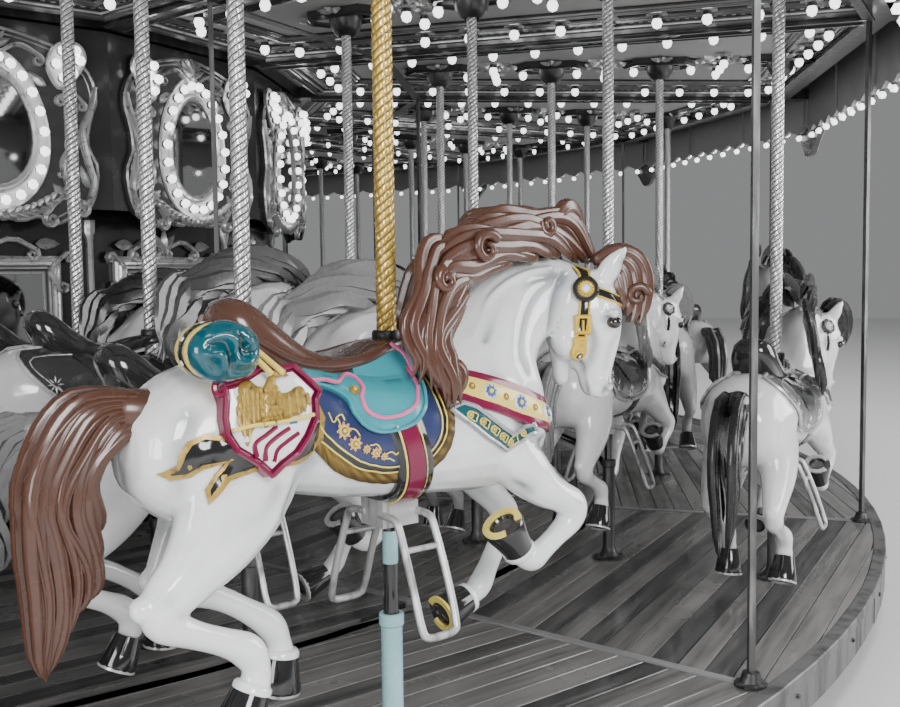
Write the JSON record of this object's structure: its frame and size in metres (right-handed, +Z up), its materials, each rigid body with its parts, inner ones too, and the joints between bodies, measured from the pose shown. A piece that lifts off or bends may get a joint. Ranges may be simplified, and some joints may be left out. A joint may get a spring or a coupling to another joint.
{
  "type": "fairground carousel",
  "caption": "Round fairground carousel: rising and falling horses four abreast with chariots on a hanging turntable, lit ceiling, mirrored centre and a low roof.",
  "frame": {"origin": "centre of the turning axis at ground level", "axes": "+Z up along the turning axis; +X along a seam between two deck sectors; the ride turns counter-clockwise seen from above"},
  "size_m": [12.95, 12.95, 5],
  "materials": {
    "frame_steel": "dark painted steel, satin",
    "housing_panel": "near-black gloss-painted timber panels",
    "deck_wood": "worn varnished grey planks",
    "rod_steel": "dark galvanised rod, satin",
    "sweep_steel": "dark painted steel, semi-gloss",
    "ceiling_panel": "silver-grey lacquered panels",
    "upper_board": "cream and silver lacquered carving",
    "rounding_board": "plain grey painted boards",
    "roof_skin": "pale grey painted sheet",
    "chariot_paint": "gloss lacquered carving in greys",
    "horse_gloss": "glossy white lacquer with coloured carved trappings"
  },
  "bodies": {
    "base": {"base_frame": "frame_steel", "centre_housing": "housing_panel"},
    "turntable": {"outer_deck": "deck_wood", "inner_deck": "deck_wood", "outer_rods": "rod_steel", "inner_rods": "rod_steel", "sweep_frame": "sweep_steel", "ceiling": "ceiling_panel", "upper_boards": "upper_board", "rounding_boards": "rounding_board", "roof": "roof_skin", "chariot_1": "chariot_paint", "chariot_2": "chariot_paint", "chariot_3": "chariot_paint", "chariot_4": "chariot_paint", "chariot_5": "chariot_paint", "chariot_6": "chariot_paint"},
    "rider_16_row_1": {"horse_16_row_1": "horse_gloss"},
    "rider_01_row_1": {"horse_01_row_1": "horse_gloss"},
    "rider_01_row_2": {"horse_01_row_2": "horse_gloss"},
    "rider_01_row_3": {"horse_01_row_3": "horse_gloss"},
    "rider_01_row_4": {"horse_01_row_4": "horse_gloss"},
    "rider_02_row_1": {"horse_02_row_1": "horse_gloss"},
    "rider_02_row_2": {"horse_02_row_2": "horse_gloss"},
    "rider_02_row_3": {"horse_02_row_3": "horse_gloss"},
    "rider_02_row_4": {"horse_02_row_4": "horse_gloss"},
    "rider_03_row_1": {"horse_03_row_1": "horse_gloss"},
    "rider_03_row_2": {"horse_03_row_2": "horse_gloss"},
    "rider_03_row_3": {"horse_03_row_3": "horse_gloss"},
    "rider_03_row_4": {"horse_03_row_4": "horse_gloss"},
    "rider_04_row_1": {"horse_04_row_1": "horse_gloss"},
    "rider_04_row_2": {"horse_04_row_2": "horse_gloss"},
    "rider_04_row_3": {"horse_04_row_3": "horse_gloss"},
    "rider_04_row_4": {"horse_04_row_4": "horse_gloss"},
    "rider_05_row_1": {"horse_05_row_1": "horse_gloss"},
    "rider_05_row_2": {"horse_05_row_2": "horse_gloss"},
    "rider_05_row_3": {"horse_05_row_3": "horse_gloss"},
    "rider_05_row_4": {"horse_05_row_4": "horse_gloss"},
    "rider_08_row_1": {"horse_08_row_1": "horse_gloss"},
    "rider_08_row_2": {"horse_08_row_2": "horse_gloss"},
    "rider_08_row_3": {"horse_08_row_3": "horse_gloss"},
    "rider_08_row_4": {"horse_08_row_4": "horse_gloss"},
    "rider_09_row_1": {"horse_09_row_1": "horse_gloss"},
    "rider_09_row_2": {"horse_09_row_2": "horse_gloss"},
    "rider_09_row_3": {"horse_09_row_3": "horse_gloss"},
    "rider_09_row_4": {"horse_09_row_4": "horse_gloss"},
    "rider_12_row_1": {"horse_12_row_1": "horse_gloss"},
    "rider_12_row_2": {"horse_12_row_2": "horse_gloss"},
    "rider_12_row_3": {"horse_12_row_3": "horse_gloss"},
    "rider_12_row_4": {"horse_12_row_4": "horse_gloss"},
    "rider_13_row_1": {"horse_13_row_1": "horse_gloss"},
    "rider_13_row_2": {"horse_13_row_2": "horse_gloss"},
    "rider_13_row_3": {"horse_13_row_3": "horse_gloss"},
    "rider_13_row_4": {"horse_13_row_4": "horse_gloss"},
    "rider_16_row_2": {"horse_16_row_2": "horse_gloss"},
    "rider_16_row_3": {"horse_16_row_3": "horse_gloss"},
    "rider_16_row_4": {"horse_16_row_4": "horse_gloss"}
  },
  "joints": [
    {"name": "turn", "type": "hinge", "parent": "base", "child": "turntable", "pos_m": [0, 0, 0], "axis": [0, 0, 1], "continuous": true},
    {"name": "gallop", "type": "slide", "parent": "turntable", "child": "rider_16_row_1", "axis": [0, 0, 1], "range_m": [-0.21, 0.01]},
    {"name": "gallop_01_row_1", "type": "slide", "parent": "turntable", "child": "rider_01_row_1", "axis": [0, 0, 1], "range_m": [-0.01, 0.21]},
    {"name": "gallop_01_row_2", "type": "slide", "parent": "turntable", "child": "rider_01_row_2", "axis": [0, 0, 1], "range_m": [-0.005, 0.105]},
    {"name": "gallop_01_row_3", "type": "slide", "parent": "turntable", "child": "rider_01_row_3", "axis": [0, 0, 1], "range_m": [-0.01, 0.21]},
    {"name": "gallop_01_row_4", "type": "slide", "parent": "turntable", "child": "rider_01_row_4", "axis": [0, 0, 1], "range_m": [-0.21, 0.01]},
    {"name": "gallop_02_row_1", "type": "slide", "parent": "turntable", "child": "rider_02_row_1", "axis": [0, 0, 1], "range_m": [-0.21, 0.01]},
    {"name": "gallop_02_row_2", "type": "slide", "parent": "turntable", "child": "rider_02_row_2", "axis": [0, 0, 1], "range_m": [-0.005, 0.105]},
    {"name": "gallop_02_row_3", "type": "slide", "parent": "turntable", "child": "rider_02_row_3", "axis": [0, 0, 1], "range_m": [-0.21, 0.01]},
    {"name": "gallop_02_row_4", "type": "slide", "parent": "turntable", "child": "rider_02_row_4", "axis": [0, 0, 1], "range_m": [-0.21, 0.01]},
    {"name": "gallop_03_row_1", "type": "slide", "parent": "turntable", "child": "rider_03_row_1", "axis": [0, 0, 1], "range_m": [-0.01, 0.21]},
    {"name": "gallop_03_row_2", "type": "slide", "parent": "turntable", "child": "rider_03_row_2", "axis": [0, 0, 1], "range_m": [-0.005, 0.105]},
    {"name": "gallop_03_row_3", "type": "slide", "parent": "turntable", "child": "rider_03_row_3", "axis": [0, 0, 1], "range_m": [-0.01, 0.21]},
    {"name": "gallop_03_row_4", "type": "slide", "parent": "turntable", "child": "rider_03_row_4", "axis": [0, 0, 1], "range_m": [-0.21, 0.01]},
    {"name": "gallop_04_row_1", "type": "slide", "parent": "turntable", "child": "rider_04_row_1", "axis": [0, 0, 1], "range_m": [-0.21, 0.01]},
    {"name": "gallop_04_row_2", "type": "slide", "parent": "turntable", "child": "rider_04_row_2", "axis": [0, 0, 1], "range_m": [-0.005, 0.105]},
    {"name": "gallop_04_row_3", "type": "slide", "parent": "turntable", "child": "rider_04_row_3", "axis": [0, 0, 1], "range_m": [-0.21, 0.01]},
    {"name": "gallop_04_row_4", "type": "slide", "parent": "turntable", "child": "rider_04_row_4", "axis": [0, 0, 1], "range_m": [-0.21, 0.01]},
    {"name": "gallop_05_row_1", "type": "slide", "parent": "turntable", "child": "rider_05_row_1", "axis": [0, 0, 1], "range_m": [-0.01, 0.21]},
    {"name": "gallop_05_row_2", "type": "slide", "parent": "turntable", "child": "rider_05_row_2", "axis": [0, 0, 1], "range_m": [-0.005, 0.105]},
    {"name": "gallop_05_row_3", "type": "slide", "parent": "turntable", "child": "rider_05_row_3", "axis": [0, 0, 1], "range_m": [-0.01, 0.21]},
    {"name": "gallop_05_row_4", "type": "slide", "parent": "turntable", "child": "rider_05_row_4", "axis": [0, 0, 1], "range_m": [-0.21, 0.01]},
    {"name": "gallop_08_row_1", "type": "slide", "parent": "turntable", "child": "rider_08_row_1", "axis": [0, 0, 1], "range_m": [-0.21, 0.01]},
    {"name": "gallop_08_row_2", "type": "slide", "parent": "turntable", "child": "rider_08_row_2", "axis": [0, 0, 1], "range_m": [-0.005, 0.105]},
    {"name": "gallop_08_row_3", "type": "slide", "parent": "turntable", "child": "rider_08_row_3", "axis": [0, 0, 1], "range_m": [-0.21, 0.01]},
    {"name": "gallop_08_row_4", "type": "slide", "parent": "turntable", "child": "rider_08_row_4", "axis": [0, 0, 1], "range_m": [-0.21, 0.01]},
    {"name": "gallop_09_row_1", "type": "slide", "parent": "turntable", "child": "rider_09_row_1", "axis": [0, 0, 1], "range_m": [-0.01, 0.21]},
    {"name": "gallop_09_row_2", "type": "slide", "parent": "turntable", "child": "rider_09_row_2", "axis": [0, 0, 1], "range_m": [-0.005, 0.105]},
    {"name": "gallop_09_row_3", "type": "slide", "parent": "turntable", "child": "rider_09_row_3", "axis": [0, 0, 1], "range_m": [-0.01, 0.21]},
    {"name": "gallop_09_row_4", "type": "slide", "parent": "turntable", "child": "rider_09_row_4", "axis": [0, 0, 1], "range_m": [-0.21, 0.01]},
    {"name": "gallop_12_row_1", "type": "slide", "parent": "turntable", "child": "rider_12_row_1", "axis": [0, 0, 1], "range_m": [-0.21, 0.01]},
    {"name": "gallop_12_row_2", "type": "slide", "parent": "turntable", "child": "rider_12_row_2", "axis": [0, 0, 1], "range_m": [-0.005, 0.105]},
    {"name": "gallop_12_row_3", "type": "slide", "parent": "turntable", "child": "rider_12_row_3", "axis": [0, 0, 1], "range_m": [-0.21, 0.01]},
    {"name": "gallop_12_row_4", "type": "slide", "parent": "turntable", "child": "rider_12_row_4", "axis": [0, 0, 1], "range_m": [-0.21, 0.01]},
    {"name": "gallop_13_row_1", "type": "slide", "parent": "turntable", "child": "rider_13_row_1", "axis": [0, 0, 1], "range_m": [-0.01, 0.21]},
    {"name": "gallop_13_row_2", "type": "slide", "parent": "turntable", "child": "rider_13_row_2", "axis": [0, 0, 1], "range_m": [-0.005, 0.105]},
    {"name": "gallop_13_row_3", "type": "slide", "parent": "turntable", "child": "rider_13_row_3", "axis": [0, 0, 1], "range_m": [-0.01, 0.21]},
    {"name": "gallop_13_row_4", "type": "slide", "parent": "turntable", "child": "rider_13_row_4", "axis": [0, 0, 1], "range_m": [-0.21, 0.01]},
    {"name": "gallop_16_row_2", "type": "slide", "parent": "turntable", "child": "rider_16_row_2", "axis": [0, 0, 1], "range_m": [-0.005, 0.105]},
    {"name": "gallop_16_row_3", "type": "slide", "parent": "turntable", "child": "rider_16_row_3", "axis": [0, 0, 1], "range_m": [-0.21, 0.01]},
    {"name": "gallop_16_row_4", "type": "slide", "parent": "turntable", "child": "rider_16_row_4", "axis": [0, 0, 1], "range_m": [-0.21, 0.01]}
  ],
  "couplings": [
    {"joint": "gallop_01_row_1", "follows": "gallop", "ratio": -1},
    {"joint": "gallop_01_row_2", "follows": "gallop", "ratio": -0.5},
    {"joint": "gallop_01_row_3", "follows": "gallop", "ratio": -1},
    {"joint": "gallop_01_row_4", "follows": "gallop", "ratio": 1},
    {"joint": "gallop_02_row_1", "follows": "gallop", "ratio": 1},
    {"joint": "gallop_02_row_2", "follows": "gallop", "ratio": -0.5},
    {"joint": "gallop_02_row_3", "follows": "gallop", "ratio": 1},
    {"joint": "gallop_02_row_4", "follows": "gallop", "ratio": 1},
    {"joint": "gallop_03_row_1", "follows": "gallop", "ratio": -1},
    {"joint": "gallop_03_row_2", "follows": "gallop", "ratio": -0.5},
    {"joint": "gallop_03_row_3", "follows": "gallop", "ratio": -1},
    {"joint": "gallop_03_row_4", "follows": "gallop", "ratio": 1},
    {"joint": "gallop_04_row_1", "follows": "gallop", "ratio": 1},
    {"joint": "gallop_04_row_2", "follows": "gallop", "ratio": -0.5},
    {"joint": "gallop_04_row_3", "follows": "gallop", "ratio": 1},
    {"joint": "gallop_04_row_4", "follows": "gallop", "ratio": 1},
    {"joint": "gallop_05_row_1", "follows": "gallop", "ratio": -1},
    {"joint": "gallop_05_row_2", "follows": "gallop", "ratio": -0.5},
    {"joint": "gallop_05_row_3", "follows": "gallop", "ratio": -1},
    {"joint": "gallop_05_row_4", "follows": "gallop", "ratio": 1},
    {"joint": "gallop_08_row_1", "follows": "gallop", "ratio": 1},
    {"joint": "gallop_08_row_2", "follows": "gallop", "ratio": -0.5},
    {"joint": "gallop_08_row_3", "follows": "gallop", "ratio": 1},
    {"joint": "gallop_08_row_4", "follows": "gallop", "ratio": 1},
    {"joint": "gallop_09_row_1", "follows": "gallop", "ratio": -1},
    {"joint": "gallop_09_row_2", "follows": "gallop", "ratio": -0.5},
    {"joint": "gallop_09_row_3", "follows": "gallop", "ratio": -1},
    {"joint": "gallop_09_row_4", "follows": "gallop", "ratio": 1},
    {"joint": "gallop_12_row_1", "follows": "gallop", "ratio": 1},
    {"joint": "gallop_12_row_2", "follows": "gallop", "ratio": -0.5},
    {"joint": "gallop_12_row_3", "follows": "gallop", "ratio": 1},
    {"joint": "gallop_12_row_4", "follows": "gallop", "ratio": 1},
    {"joint": "gallop_13_row_1", "follows": "gallop", "ratio": -1},
    {"joint": "gallop_13_row_2", "follows": "gallop", "ratio": -0.5},
    {"joint": "gallop_13_row_3", "follows": "gallop", "ratio": -1},
    {"joint": "gallop_13_row_4", "follows": "gallop", "ratio": 1},
    {"joint": "gallop_16_row_2", "follows": "gallop", "ratio": -0.5},
    {"joint": "gallop_16_row_3", "follows": "gallop", "ratio": 1},
    {"joint": "gallop_16_row_4", "follows": "gallop", "ratio": 1}
  ]
}
